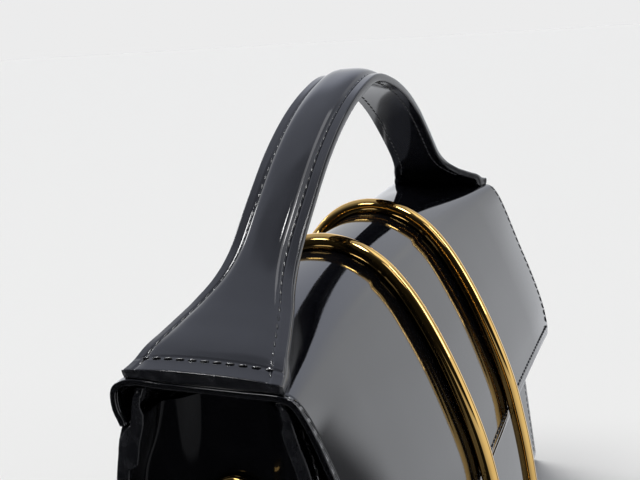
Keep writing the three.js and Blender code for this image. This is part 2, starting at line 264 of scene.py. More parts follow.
def threadPaint(name, sizes):
    paint = Paint(name)
    ply = paint.noise(sizes["plySize"], 2.0)
    wax = paint.between(paint.noise(sizes["waxSize"], 2.0), 0.45, 0.62)
    return paint.finish({
        "Base Color": paint.blend(wax, sizes["dark"], sizes["waxed"]),
        "Roughness": paint.between(wax, 0, 1, *sizes["rough"]),
        "IOR": 1.75,
        "Normal": paint.bump(ply, sizes["plyDepth"]),
    })


edgeCoat = {
    "dark": (0.009, 0.0095, 0.012, 1),
    "rubbed": (0.03, 0.031, 0.036, 1),
    "waveSize": 2.4,
    "waveDepth": 0.02,
    "rubSize": 5,
    "rough": (0.13, 0.26),
}


def edgePaint(name, sizes):
    paint = Paint(name)
    rubbed = paint.between(paint.noise(sizes["rubSize"], 4.0, 0.65), 0.45, 0.8)
    return paint.finish({
        "Base Color": paint.blend(rubbed, sizes["dark"], sizes["rubbed"]),
        "Roughness": paint.between(rubbed, 0, 1, *sizes["rough"]),
        "Normal": paint.bump(paint.noise(sizes["waveSize"], 2.0), sizes["waveDepth"]),
    })


# Lines and meshes


def smoothLine(points, steps):  # an even curve through the points, steps pieces between two of them
    ends = [2 * points[0] - points[1], *points, 2 * points[-1] - points[-2]]
    line = []
    for p0, p1, p2, p3 in zip(ends, ends[1:], ends[2:], ends[3:]):
        g0, g1, g2 = (max((b - a).length, 1e-6) ** 0.5 for a, b in ((p0, p1), (p1, p2), (p2, p3)))
        out = ((p1 - p0) / g0 - (p2 - p0) / (g0 + g1) + (p2 - p1) / g1) * g1
        back = ((p2 - p1) / g1 - (p3 - p1) / (g1 + g2) + (p3 - p2) / g2) * g1
        line += geometry.interpolate_bezier(p1, p1 + out / 3, p2 - back / 3, p2, steps + 1)[:-1]
    return line + [points[-1].copy()]


def spaced(low, high, count):  # from low to high in a number of equal steps
    return [low + (high - low) * k / count for k in range(count + 1)]


def beside(line, i):  # the direction to the left of a flat line at one of its points
    step = (line[min(i + 1, len(line) - 1)] - line[max(i - 1, 0)]).normalized()
    return Vector((-step.y, step.x))


def shifted(line, distance):  # a flat line moved to its left
    return [point + beside(line, i) * distance for i, point in enumerate(line)]


def clamped(value):
    return min(max(value, 0), 1)


def ease(value, low, high):
    share = clamped((value - low) / (high - low))
    return share * share * (3 - 2 * share)


def valueAt(rows, at):  # straight line through rising (place, value) rows
    for (a, low), (b, high) in zip(rows, rows[1:]):
        if at <= b:
            return low + (high - low) * clamped((at - a) / (b - a))
    return rows[-1][1]


class Track:  # a line that is read by the distance along it
    def __init__(self, line):
        self.line = line
        self.marks = [0.0]
        for a, b in zip(line, line[1:]):
            self.marks.append(self.marks[-1] + (b - a).length)
        self.length = self.marks[-1]

    def at(self, distance):
        low, high = 0, len(self.marks) - 1
        while high - low > 1:
            middle = (low + high) // 2
            low, high = (middle, high) if self.marks[middle] <= distance else (low, middle)
        span = max(self.marks[high] - self.marks[low], 1e-9)
        return self.line[low].lerp(self.line[high], clamped((distance - self.marks[low]) / span))


def evenly(line, count):  # points at equal distances along a line
    track = Track(line)
    return [track.at(distance) for distance in spaced(0, track.length, count - 1)]


def surface(sections, round=False, capped=False):  # a grid bent onto rows of points
    rows, columns = len(sections), len(sections[0])
    bm = bmesh.new()
    wide = columns if round else columns - 1
    bmesh.ops.create_grid(bm, x_segments=wide, y_segments=rows - 1, size=1)
    for vert in bm.verts:
        column = int((vert.co.x + 1) / 2 * wide + 0.5) % columns
        row = int((vert.co.y + 1) / 2 * (rows - 1) + 0.5)
        vert.co = sections[row][column] * mm
    if round:
        bmesh.ops.remove_doubles(bm, verts=bm.verts, dist=1e-6)
    if capped:
        rims = [edge for edge in bm.edges if edge.is_boundary]
        bmesh.ops.holes_fill(bm, edges=rims, sides=0)
    return bm


def meshOf(name, bm):
    mesh = bpy.data.meshes.new(name)
    bm.to_mesh(mesh)
    bm.free()
    return mesh


def shaped(
    name, bm, paint, body="bag", outwards=True,
    bevel=0, angle=40, smooth=0, thick=0, side=0,
):
    if outwards:
        bmesh.ops.recalc_face_normals(bm, faces=bm.faces)
    mesh = meshOf(name, bm)
    mesh.polygons.foreach_set("use_smooth", [True] * len(mesh.polygons))
    mesh.materials.append(paint)
    piece = bpy.data.objects.new(name, mesh)
    bpy.context.scene.collection.objects.link(piece)
    if thick:
        wall = piece.modifiers.new("wall", "SOLIDIFY")
        wall.thickness = thick * mm
        wall.offset = side
        wall.use_even_offset = True
    if bevel:
        rim = piece.modifiers.new("rim", "BEVEL")
        rim.width = bevel * mm
        rim.segments = 2
        rim.profile = 0.5
        rim.limit_method = "ANGLE"
        rim.angle_limit = math.radians(angle)
        rim.harden_normals = not smooth
    if smooth:
        finer = piece.modifiers.new("finer", "SUBSURF")
        finer.levels = finer.render_levels = smooth
    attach(piece, body)
    return piece


def addStrip(strips, sections):
    mesh = meshOf("strip", surface(sections, round=True, capped=True))
    strips.from_mesh(mesh)
    bpy.data.meshes.remove(mesh)


# The body's outline, as the panels, gussets and flap all follow it

bag = {
    "length": 250,
    "topHeight": 149.5,
    "baseHalf": 46.9,
    "mouthHalf": 23,
    "endInset": 1,
    "clearance": 0.3,
    "wall": 2.4,
    "cornerRadius": 4,
    "turnUnder": 12,
    "seamDrop": 14.5,
    "facingLap": 10,
    "facingTaper": 2,
    "flapThickness": 2,
    "flapDrop": 76,
    "flapStandOff": 13.3,
    "flapEase": 0.8,
    "shoulderEase": 1.3,
    "rollBulge": 2,
    "crown": 9.4,
    "waist": 8.2,
    "archPower": 2.2,
    "wallSteps": 48,
    "bendSoft": 1.5,  # how gently the front panel bends where it meets the flap's line
}
wallRows = [  # up the wall, outwards from the mouth
    (0, 1), (0.27, 0.8), (0.5, 0.63), (0.8, 0.335),
    (0.89, 0.215), (0.92, 0.15), (0.965, 0.085), (1, 0),
]
flapRows = [  # across, seam, bulge, forward, down, draw, rise: from the seam to the front edge
    (1, 1, 0, 0, 1, 0, 0),
    (1, 1, 0.95, 0, 0.62, 0.07, -0.04),
    (1, 1, 0.6, 0, 0.2, 0.42, 0.06),
    (0.95, 0, 0, 0, 0, 0.7, 0.53),
    (0.45, 0, 0, 0, 0, 0.12, 0.93),
    (0, 0, 0, 0, 0, 0, 0.98),
    (-0.5, 0, 0, 0, 0, 0.56, 0.74),
    (-0.94, 0, 0, 0, 0, 0.85, 0.18),
    (-1, 0, 0, 0.06, 0.014, 0.98, 0),
    (-1, 0, 0, 0.15, 0.055, 0.96, 0),
    (-1, 0, 0, 0.26, 0.14, 0.78, 0),
    (-1, 0, 0, 0.485, 0.367, 0.44, 0),
    (-1, 0, 0, 0.755, 0.634, 0.37, 0),
    (-1, 0, 0, 0.917, 0.829, 0.35, 0),
    (-1, 0, 0, 1, 1, 0.295, 0),
]
halfLength = bag["length"] / 2
bodyHalf = halfLength - bag["endInset"]
bodyHeight = bag["topHeight"] - bag["flapThickness"] - bag["clearance"]
topHalf = bag["mouthHalf"] + bag["shoulderEase"]
seamStep = bag["flapThickness"] + 2 * bag["clearance"]
flapBottom = bag["topHeight"] - bag["flapDrop"]
seamHeight = bag["topHeight"] - bag["seamDrop"]


def makeWallLine():
    spread = bag["baseHalf"] - bag["mouthHalf"]
    points = [Vector((bag["mouthHalf"] + spread * out, up * bodyHeight)) for up, out in wallRows]
    return [(p.y, p.x) for p in smoothLine(points, 6)]


wallLine = makeWallLine()


def wallOut(z):
    return valueAt(wallLine, z)


flapReach = wallOut(flapBottom) + bag["flapStandOff"] + bag["flapThickness"]
seamOut = wallOut(seamHeight)


def middleness(x):
    return 1 - min(1, abs(x) / halfLength) ** bag["archPower"]


def flapFace(x, steps):  # (y, z) points of the flap's outer face from the seam to the front edge
    m = middleness(x)
    points = []
    for across, seam, bulge, forward, down, draw, rise in flapRows:
        drop = bag["seamDrop"] - bag["clearance"] if across > 0 else bag["flapDrop"]
        y = across * topHalf * (1 - seam) + seamOut * seam + bulge * bag["rollBulge"]
        y -= forward * (flapReach - topHalf)
        y -= ((across > 0) - (across < 0)) * draw * bag["waist"] * m
        points.append(Vector((y, bag["topHeight"] - down * drop + rise * bag["crown"] * m)))
    return smoothLine(points, steps)


def flapInside(x):  # (height, depth in front) rows of the flap's inner face
    line = shifted(flapFace(x, 4), bag["flapThickness"])
    front = [p for p in line[len(line) // 3:] if p.x < 0]
    return [(p.y, -p.x) for p in reversed(front)]


def frontLine(x):  # (height, depth) rows of the front panel's outer face
    inside = flapInside(x)
    soft = bag["bendSoft"]
    rows = []
    for z in spaced(0, bodyHeight, bag["wallSteps"]):
        room = valueAt(inside, z) - bag["flapEase"] if z > inside[0][0] else 1e3
        gap = wallOut(z) - room
        bend = soft / 4 * max(0, 1 - abs(gap) / soft) ** 2
        rows.append((z, wallOut(z) - max(0, gap) - bend))
    return rows


def backIn(z):
    start = seamHeight - bag["facingLap"]
    share = clamped((z - start + bag["facingTaper"]) / bag["facingTaper"])
    return wallOut(z) - bag["wall"] - seamStep * share


# Finishes

flapSew = {"side": 1.6, "bottom": 3.6, "crease": 0.8, "fall": 2.1, "fallWidth": 34, "seam": 2.8}
panelSew = {"end": 3.4, "foot": 6, "top": 8, "seam": 3}
handleSew = {"end": 4.4, "reach": 2, "below": 0.84}


def flapGrooves(paint):
    x, y, z = (paint.axis(name) for name in "XYZ")
    half = leather["grooveHalf"]

    def grooves(fromEdge, sewn):  # a soft one under the sewing and a fine one along the edge
        soft = paint.ridge(fromEdge, sewn, half * 1.6) * 0.5
        return soft.higher(paint.ridge(fromEdge, flapSew["crease"], half * 0.7))

    isFront = paint.between(y, -0.04, -0.03, 1, 0)
    front = grooves(z / mm - flapBottom, flapSew["bottom"]) * isFront
    return grooves(halfLength - abs(x / mm), flapSew["side"]).higher(front)


def panelGrooves(paint):
    side = bodyHalf - abs(paint.axis("X") / mm)
    return paint.ridge(side, panelSew["end"], leather["grooveHalf"] * 1.6) * 0.7


def handleGrooves(paint):
    end = halfLength - abs(paint.axis("X") / mm)
    return paint.ridge(end, handleSew["end"], leather["grooveHalf"] * 1.6) * 0.8


def flapForm(paint):  # the front falls away a little towards the sides, in millimetres
    side = halfLength - abs(paint.axis("X") / mm)
    share = 1 - paint.between(side, 0, flapSew["fallWidth"])
    isFront = paint.smooth(paint.axis("Z"), 0.15, 0.138)
    return 1 - share * share * isFront * flapSew["fall"]


flapLeather = leatherPaint("flapLeather", leather, flapGrooves, form=flapForm)
panelLeather = leatherPaint("panelLeather", leather, panelGrooves)
# The gussets and ring tabs are the same black leather. Their base colour is darkened to 0.8 as painted shade
# for the recessed ends of the bag.
gussetLeather = leatherPaint("gussetLeather", leather, lightTint=0.8, gloss=2, index=1.27)
# The strap is the same black leather as the flap. Its base colour is made 1.8 times paler as a painted
# sheen, standing in for the room its padded top reflects.
handleLeather = leatherPaint("handleLeather", leather, handleGrooves, lightTint=1.8, gloss=1.5)
goldMetal = goldPaint("goldMetal", gold)
snapMetal = goldPaint("snapMetal", gold, satin=0.6)
blackThread = threadPaint("blackThread", thread)
paintedEdge = edgePaint("paintedEdge", edgeCoat)
print("finishes")


# Panels

panels = {
    "stations": 60,
    "backStations": 30,
    "cornerSteps": 6,
    "seamEdge": 0.4,
    "rim": 0.45,
}


def footLine(side):
    corner = bag["cornerRadius"]
    footHalf = wallOut(corner)
    edge, inner = footHalf - bag["turnUnder"], footHalf - bag["wall"]
    line = []
    for a in spaced(0, math.pi / 2, panels["cornerSteps"]):
        line.append((footHalf - corner + corner * math.cos(a), corner * (1 - math.sin(a))))
    line += [(edge, 0), (edge, bag["wall"]), (inner, bag["wall"])]
    return [Vector((side * y, z)) for y, z in line]


def panelSections(side, sections):
    above = bag["cornerRadius"] + bag["wall"]
    heights = [z for z, y in sections[0][1] if z > above]
    made = []
    for x, outer, inner in sections:
        line = [Vector((side * valueAt(outer, z), z)) for z in reversed(heights)]
        line += footLine(side) + [Vector((side * valueAt(inner, z), z)) for z in heights]
        made.append([Vector((x, p.x, p.y)) for p in line])
    return made


def makeFrontPanel():
    rows = []
    for x in spaced(-bodyHalf, bodyHalf, panels["stations"]):
        outer = frontLine(x)
        rows.append((x, outer, [(z, y - bag["wall"]) for z, y in outer]))
    bm = surface(panelSections(-1, rows), round=True, capped=True)
    piece = shaped("frontPanel", bm, panelLeather, bevel=panels["rim"])
    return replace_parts(piece, "front_panel")


def makeBackPanel():
    lap = seamHeight - bag["facingLap"]
    heights = spaced(0, bodyHeight, bag["wallSteps"])
    heights += [seamHeight - panels["seamEdge"], seamHeight, lap - bag["facingTaper"], lap]
    heights = sorted(set(heights))
    outer = [(z, wallOut(z) - (seamStep if z >= seamHeight else 0)) for z in heights]
    inner = [(z, backIn(z)) for z in heights]
    rows = [(x, outer, inner) for x in spaced(-bodyHalf, bodyHalf, panels["backStations"])]
    bm = surface(panelSections(1, rows), round=True, capped=True)
    piece = shaped("backPanel", bm, panelLeather, bevel=panels["rim"])
    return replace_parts(piece, "back_panel")


def makeBasePanel():
    half = wallOut(bag["cornerRadius"]) - bag["turnUnder"] - bag["clearance"]
    bm = bmesh.new()
    bmesh.ops.create_cube(bm, size=1)
    bmesh.ops.scale(bm, vec=(2 * bodyHalf * mm, 2 * half * mm, bag["wall"] * mm), verts=bm.verts)
    bmesh.ops.translate(bm, vec=(0, 0, bag["wall"] / 2 * mm), verts=bm.verts)
    bmesh.ops.bevel(
        bm, geom=bm.edges[:], offset=panels["rim"] * mm, segments=3,
        affect="EDGES", profile=0.5, material=-1,
    )
    piece = shaped("basePanel", bm, panelLeather)
    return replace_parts(piece, "base_panel")


makeFrontPanel()
makeBackPanel()
makeBasePanel()
print("panels")


# Gussets

gusset = {
    "thickness": 1.6,
    "topInset": 7.5,
    "rimDepth": 8,
    "foldDepth": 8,
    "outerFoldShare": 0.35,
    "outerFoldPlace": 0.45,
    "flatHalf": 10.35,  # a ring's half width, its wire and a little room
    "levels": 26,
    "soft": 2.2,
    "turnSteps": (0.35, 0.7, 1),
}
gussetEdge = frontLine(bodyHalf - gusset["rimDepth"] - gusset["foldDepth"] - gusset["thickness"])


def gussetFront(z):
    return valueAt(gussetEdge, z)


def gussetRow(z):  # (x, y) points across a gusset, from the front rim's end to the back one's
    half = gusset["thickness"] / 2
    front = gussetFront(z) - bag["wall"] - bag["clearance"] - half
    back = backIn(z) - bag["clearance"] - half
    depth = gusset["rimDepth"] + half
    fold = gusset["foldDepth"] * z / bodyHeight
    flat = gusset["flatHalf"]
    share = gusset["outerFoldShare"]

    def wing(edge):  # from a rim's end to the flat middle
        crease = flat + (edge - flat) * gusset["outerFoldPlace"]
        return [
            (0, edge), (depth / 2, edge), (depth, edge),
            (depth + share * fold / 2, (crease + edge) / 2),
            (depth + share * fold, crease),
            (depth + (1 + share) / 2 * fold, (crease + flat) / 2),
            (depth + fold, flat),
        ]

    row = [(x, -y) for x, y in wing(front)] + [(depth + fold, 0)] + wing(back)[::-1]
    return [Vector(p) for p in row]


def softened(line, reach, steps):  # a line whose bends are rounded
    made = [line[0]]
    for a, b, c in zip(line, line[1:], line[2:]):
        before, after = a - b, c - b
        if min(before.length, after.length) < 1e-6 or before.angle(-after) < 0.02:
            made += [b.copy()] * (steps + 1)
            continue
        r = min(reach, before.length * 0.48, after.length * 0.48)
        start, end = b + before.normalized() * r, b + after.normalized() * r
        made += geometry.interpolate_bezier(start, start.lerp(b, 0.62), end.lerp(b, 0.62), end, steps + 1)
    return made + [line[-1]]


def makeGusset(side, name):
    bottom = bag["wall"] + bag["clearance"] + gusset["thickness"] / 2
    sections = []
    for z in spaced(bottom, bodyHeight - gusset["topInset"], gusset["levels"]):
        row = softened(gussetRow(z), gusset["soft"], 3)
        sections.append([Vector((side * (bodyHalf - p.x), p.y, z)) for p in row])
    for share in gusset["turnSteps"]:  # the rim turned out along the base
        foot = [Vector((p.x + (side * bodyHalf - p.x) * share, p.y, bottom)) for p in sections[0]]
        sections.insert(0, foot)
    bm = surface(sections)
    bmesh.ops.remove_doubles(bm, verts=bm.verts, dist=2e-5)
    piece = shaped(
        name + "Gusset", bm, gussetLeather,
        thick=gusset["thickness"], bevel=0.35, angle=70, smooth=1,
    )
    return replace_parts(piece, name + "_gusset")


endPaint = {
    "proud": 0.45,
    "sunk": 0.25,
    "below": 0.8,
    "steps": 60,
    "turnSteps": 5,
    "footSteps": 16,
    "around": 8,
    "blunt": 0.15,
    "gussetFade": (-1, 3),
    "seamFade": (-5, -0.4),
}


def endRows():  # (y, z, half width) rows round the body's end, over the cut edges of panel and gusset
    corner = bag["cornerRadius"]
    lap = bag["clearance"] + gusset["thickness"]
    half = (bag["wall"] + lap) / 2
    bend = corner - half
    front = frontLine(bodyHalf)
    foot = wallOut(corner) - corner
    gussetEnd = [bodyHeight - gusset["topInset"] + part for part in endPaint["gussetFade"]]
    seamEnd = [seamHeight + part for part in endPaint["seamFade"]]

    def upwards(side):  # from the base up one wall
        rows = []
        for a in spaced(math.pi / 2, 0, endPaint["turnSteps"])[:-1]:
            rows.append((side * (foot + bend * math.cos(a)), corner - bend * math.sin(a), half))
        for z in spaced(corner, bodyHeight - endPaint["below"], endPaint["steps"]):
            outer = valueAt(front, z) if side < 0 else wallOut(z) - seamStep * ease(z, *seamEnd)
            inner = outer - bag["wall"] if side < 0 else backIn(z)
            inner -= lap * (1 - ease(z, *gussetEnd))
            rows.append((side * (outer + inner) / 2, z, (outer - inner) / 2))
        return rows

    middle = [(y, half, half) for y in spaced(-foot, foot, endPaint["footSteps"])[1:-1]]
    return upwards(-1)[::-1] + middle + upwards(1)


def makeEndEdges():  # one coat of paint over the cut ends of panel and gusset
    rows = endRows()
    line = [Vector((y, z)) for y, z, half in rows]
    marks = Track(line)
    rise = endPaint["proud"] + endPaint["sunk"]
    strips = bmesh.new()
    for side in (-1, 1):
        sections = []
        for i, (y, z, half) in enumerate(rows):
            toEnd = min(marks.marks[i], marks.length - marks.marks[i]) / half
            share = max(endPaint["blunt"], 1 - max(0, 1 - toEnd) ** 2) ** 0.5  # rounded off at both ends
            row = []
            for a in spaced(0, math.pi, endPaint["around"]):
                spot = line[i] - beside(line, i) * (half * share * math.cos(a))
                out = bodyHalf - endPaint["sunk"] + rise * max(0, math.sin(a)) ** 0.7 * share
                row.append(Vector((side * out, spot.x, spot.y)))
            sections.append(row)
        addStrip(strips, sections)
    return shaped("endEdges", strips, paintedEdge)


makeGusset(-1, "left")
makeGusset(1, "right")
makeEndEdges()
print("gussets")


# Flap

flap = {
    "stations": 96,
    "steps": 6,
    "rim": 0.5,
    "reach": 1.9,
    "turnLength": 4.6,
    "turnDepth": 0.85,
}


def turnedIn(line):  # the front edge bent inwards, and the back edge let down onto the panel
    line = line[:-1] + [line[-1] + (line[-1] - line[-2]).normalized() * flap["reach"]]
    end = Track(line)
    bent = []
    for i, p in enumerate(line):
        share = max(0, 1 - (end.length - end.marks[i]) / flap["turnLength"])
        bent.append(p + beside(line, i) * flap["turnDepth"] * share ** 1.2)
    bent[0] += Vector((0, -bag["clearance"]))
    return bent


def makeFlap():
    sections = []
    for x in spaced(-halfLength, halfLength, flap["stations"]):
        sections.append([Vector((x, p.x, p.y)) for p in turnedIn(flapFace(x, flap["steps"]))])
    bm = surface(sections)
    bm.normal_update()
    crown = Vector((0, 0, bag["topHeight"] + bag["crown"])) * mm
    middle = min(bm.faces, key=lambda f: (f.calc_center_median() - crown).length)
    if middle.normal.z < 0:
        bmesh.ops.reverse_faces(bm, faces=bm.faces[:])
    piece = shaped(
        "flapSheet", bm, flapLeather, outwards=False,
        thick=bag["flapThickness"], side=-1, bevel=flap["rim"], angle=50, smooth=1,
    )
    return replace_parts(piece, "flap")


makeFlap()
print("flap")


# Handle

handle = {
    "rise": 64.2,
    "thickness": 3,
    "endThickness": 2.2,
    "endInset": 0.9,
    "strapHalf": 11,
    "stitchBand": 4,
    "seamInset": 3.55,
    "seamHalf": 0.55,
    "seamDepth": 0.3,
    "padRise": 2.2,
    "padFade": 1.15,
    "steps": 6,
    "rim": 0.5,
    "padColumns": 12,
    "edgeProud": 0.3,
    "onFlap": 0.06,
    "bandColumns": (0, 1.2, 2.4, 3, 3.25, 3.55, 3.85),
    "sewnUntil": 0.035,
    "sewnFade": 0.04,
    "freeFrom": 0.3,
}
crownRows = [(0, 1.5), (0.05, 1.1), (0.13, 0.3), (0.2, 0)]  # along, rise of the middle over the sewn end
curlRows = [  # along, droop of the edges
    (0, 0), (0.04, 0.4), (0.1, 1.1), (0.2, 1.2), (0.3, 0.5), (0.4, 0), (1, 0),
]
handleRows = [  # along, rise, flare: from a sewn end to the crest
    (0, 0, 1), (0.03, 0.022, 0.92), (0.07, 0.072, 0.8), (0.14, 0.126, 0.59), (0.21, 0.18, 0.37),
    (0.278, 0.246, 0.14), (0.342, 0.33, 0.02), (0.46, 0.522, 0), (0.58, 0.704, 0), (0.714, 0.852, 0),
    (0.858, 0.953, 0), (1, 1, 0),
]


def flapTop(x):
    return max(p.y for p in flapFace(x, 4)) + bag["clearance"]


def handleFrames():  # middle of the upper face, half width, upward direction, thickness, pad height
    base = flapTop(halfLength) + handle["endThickness"]
    endHalf = topHalf - handle["endInset"]
    points = []
    for along, rise, flare in handleRows:
        wide = handle["strapHalf"] + (endHalf - handle["strapHalf"]) * flare
        points.append(Vector((-halfLength * (1 - along), wide, base + handle["rise"] * rise)))
    points += [Vector((-p.x, p.y, p.z)) for p in reversed(points[:-1])]
    line = smoothLine(points, handle["steps"])
    made = []
    for i, p in enumerate(line):
        step = line[min(i + 1, len(line) - 1)] - line[max(i - 1, 0)]
        step.y = 0
        step.normalize()
        up = Vector((-step.z, 0, step.x))
        thick = min(handle["thickness"], (p.z - flapTop(p.x)) / up.z)
        flare = (p.y - handle["strapHalf"]) / (endHalf - handle["strapHalf"])
        pad = handle["padRise"] * clamped(1 - handle["padFade"] * flare)
        made.append((Vector((p.x, 0, p.z)), p.y, up, thick, pad))
    return made


handleLine = handleFrames()


def handlePoint(spot, across, lift):
    middle, half, up, thick, pad = spot
    return middle + Vector((0, across, 0)) + up * lift


def padLift(spot, across):
    middle, half, up, thick, pad = spot
    along = 1 - abs(middle.x) / halfLength
    share = min(abs(across) / half, 1)
    t = min(abs(across) / (half - handle["stitchBand"]), 1)
    lift = valueAt(crownRows, along) * (1 - share ** 2.4) - valueAt(curlRows, along) * share ** 4
    fromSeam = abs(half - abs(across) - handle["seamInset"]) / handle["seamHalf"]
    groove = handle["seamDepth"] * max(0, 1 - fromSeam) ** 0.5
    return lift - groove * max(0.8, min(pad, 1)) + pad * (1 - t ** 3.2) ** 0.55


flapTops = {}  # (y, z) rows of the flap's top, kept for each place along it


def flapHeight(x, y):
    place = round(x, 2)
    if place not in flapTops:
        top = [p for p in flapFace(x, 4) if p.y > bag["topHeight"] - 1]
        flapTops[place] = sorted((p.x, p.y) for p in top)
    return valueAt(flapTops[place], y)


def underLift(spot, across):  # flat under the strap, and down to the flap where it is sewn on
    middle, half, up, thick, pad = spot
    along = 1 - abs(middle.x) / halfLength
    flat = -thick - valueAt(curlRows, along) * min(abs(across) / half, 1) ** 4
    if along > handle["freeFrom"]:
        return flat
    sewn = clamped(1 - (along - handle["sewnUntil"]) / handle["sewnFade"])
    rest = (flapHeight(middle.x, across) + handle["onFlap"] - middle.z) / up.z
    return max(flat + (rest - flat) * sewn, rest)


def handleSection(spot):
    half = spot[1]
    inner = half - handle["stitchBand"]
    band = handle["bandColumns"]
    tops = [d - half for d in band]
    tops += [-inner * math.cos(a) for a in spaced(0, math.pi, handle["padColumns"])]
    tops += [half - d for d in reversed(band)]
    line = [handlePoint(spot, y, padLift(spot, y)) for y in tops]
    return line + [handlePoint(spot, y, underLift(spot, y)) for y in spaced(half, -half, 8)]


def makeHandle():
    bm = surface([handleSection(spot) for spot in handleLine], round=True, capped=True)
    piece = shaped("handleStrap", bm, handleLeather, bevel=handle["rim"], angle=60)
    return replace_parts(piece, "handle")


def edgeRow(spot, across, outwards, reach=0.43):  # half-round points over a cut edge
    top, under = padLift(spot, across), underLift(spot, across)
    row = []
    for a in spaced(-math.pi / 2, math.pi / 2, 8):
        lift = under + (top - under) * (0.5 + reach * math.sin(a))
        row.append(handlePoint(spot, across, lift) + outwards * (handle["edgeProud"] * math.cos(a) - 0.12))
    return row


def makeHandleEdges():
    strips = bmesh.new()
    for side in (-1, 1):
        addStrip(strips, [edgeRow(spot, side * spot[1], Vector((0, side, 0))) for spot in handleLine])
        spot = handleLine[0 if side < 0 else -1]
        across = spaced(-spot[1], spot[1], 32)
        addStrip(strips, [edgeRow(spot, y, Vector((side, 0, 0)), 0.51) for y in across])
    return shaped("handleEdges", strips, paintedEdge)


makeHandle()
handleEdges = makeHandleEdges()
print("handle")


# Gold loop

loop = {
    "tubeRadius": 2.92,
    "tubeGap": 0.12,
    "armHalf": 27,
    "corner": 16,
    "tailLength": 57,
    "tailRadius": 340,
    "tailSteps": 8,
    "profilePoints": 36,
    "around": 28,
    "stations": 420,
}


def loopProfile():  # (y, z) points that the middle of the tube follows, from the back to its lower end
    face = flapFace(loop["armHalf"], 8)[8:]
    line = evenly(shifted(face, -loop["tubeRadius"] - loop["tubeGap"]), loop["profilePoints"])
    for _ in range(3):
        line[1:-1] = [(a + 2 * b + c) / 4 for a, b, c in zip(line, line[1:], line[2:])]
    end, before = line[-1].copy(), line[-2]
    start = math.atan2(before.x - end.x, before.y - end.y)
    for s in spaced(0, loop["tailLength"], loop["tailSteps"])[1:]:
        a = start - s / (2 * loop["tailRadius"])
        line.append(Vector((end.x - s * math.sin(a), end.y - s * math.cos(a))))
    return smoothLine(line, 8)


loopTrack = Track(loopProfile())


def roundedOutline(half, high, lowCorner, highCorner, count):  # even points round a closed shape
    line = []
    for x, y, r, turn in (
        (half - lowCorner, lowCorner, lowCorner, -0.5),
        (half - highCorner, high - highCorner, highCorner, 0),
        (highCorner - half, high - highCorner, highCorner, 0.5),
        (lowCorner - half, lowCorner, lowCorner, 1),
    ):
        for a in spaced(math.pi * turn, math.pi * (turn + 0.5), 16):
            line.append(Vector((x + r * math.cos(a), y + r * math.sin(a))))
    return evenly(line + [line[0]], count + 1)[:-1]


def tube(line, radius, around, sides):  # a closed tube; sides are directions across it at each point
    sections = []
    count = len(line)
    for i, point in enumerate(line):
        step = (line[(i + 1) % count] - line[(i - 1) % count]).normalized()
        out = (sides[i] - step * sides[i].dot(step)).normalized()
        over = step.cross(out)
        turns = spaced(0, 2 * math.pi, around)[:-1]
        sections.append([point + (out * math.cos(a) + over * math.sin(a)) * radius for a in turns])
    return surface(sections + [sections[0]], round=True)


def loopNormal(s):
    step = (loopTrack.at(min(s + 0.5, loopTrack.length)) - loopTrack.at(max(s - 0.5, 0))).normalized()
    return Vector((0, step.y, -step.x))


def makeLoop():
    corner = loop["corner"]
    line, sides = [], []
    for p in roundedOutline(loop["armHalf"], loopTrack.length, corner, corner, loop["stations"]):
        spot = loopTrack.at(p.y)
        line.append(Vector((p.x, spot.x, spot.y)))
        sides.append(loopNormal(p.y))
    bm = tube(line, loop["tubeRadius"], loop["around"], sides)
    piece = shaped("goldLoop", bm, goldMetal)
    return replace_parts(piece, "loop")


makeLoop()
print("loop")


# Rings and their tabs

ring = {
    "wireRadius": 1.25,
    "half": 8.4,
    "side": 5.2,
    "corner": 2.2,
    "lean": 7,
    "drop": 47.5,
    "tabLeather": 1.4,
    "tabLength": 20,
    "tabTaper": 9,
    "tabSideGap": 0.4,
    "tabSew": 1.3,
    "around": 18,
    "stations": 120,
}
tabBore = ring["wireRadius"] + bag["clearance"]
tabHalf = ring["half"] - ring["corner"] - ring["tabSideGap"]


def ringTurns(side):
    outer = tabBore + ring["tabLeather"]
    height = bag["topHeight"] - ring["drop"]
    slope = math.atan2(gusset["foldDepth"], bodyHeight)
    face = bodyHalf - gusset["rimDepth"] - gusset["foldDepth"] * height / bodyHeight
    place = Matrix.Translation((side * (face + (bag["clearance"] + outer) / math.cos(slope)), 0, height))
    tab = place @ Matrix.Rotation(0 if side > 0 else math.pi, 4, "Z") @ Matrix.Rotation(-slope, 4, "Y")
    return tab, tab @ Matrix.Rotation(-math.radians(ring["lean"]), 4, "Y")


def makeRing(side, name):
    turn = ringTurns(side)[1]
    half = ring["half"]
    outline = roundedOutline(half, half + ring["side"], ring["corner"], half, ring["stations"])
    line = [turn @ Vector((0, p.x, p.y)) for p in outline]
    sides = [turn.to_3x3() @ Vector((1, 0, 0))] * len(line)
    bm = tube(line, ring["wireRadius"], ring["around"], sides)
    piece = shaped(name + "Ring", bm, goldMetal, body=name + "_ring")
    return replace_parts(piece, name + "_ring")


def tabLine():  # (x, z) points along the middle of the folded strip
    leather, length, taper = ring["tabLeather"], ring["tabLength"], ring["tabTaper"]
    middle = tabBore + leather / 2
    low = leather / 2 - tabBore + 0.05
    line = [(-middle, z) for z in spaced(-length, 0, 8)]
    turns = spaced(0, math.pi, 12)[1:-1]
    line += [(-middle * math.cos(a), middle * math.sin(a)) for a in turns]
    line += zip(spaced(middle, low, 5), spaced(0, -taper, 5))
    line += [(low, z) for z in spaced(-taper, -length, 5)[1:]]
    return [Vector(p) for p in line]


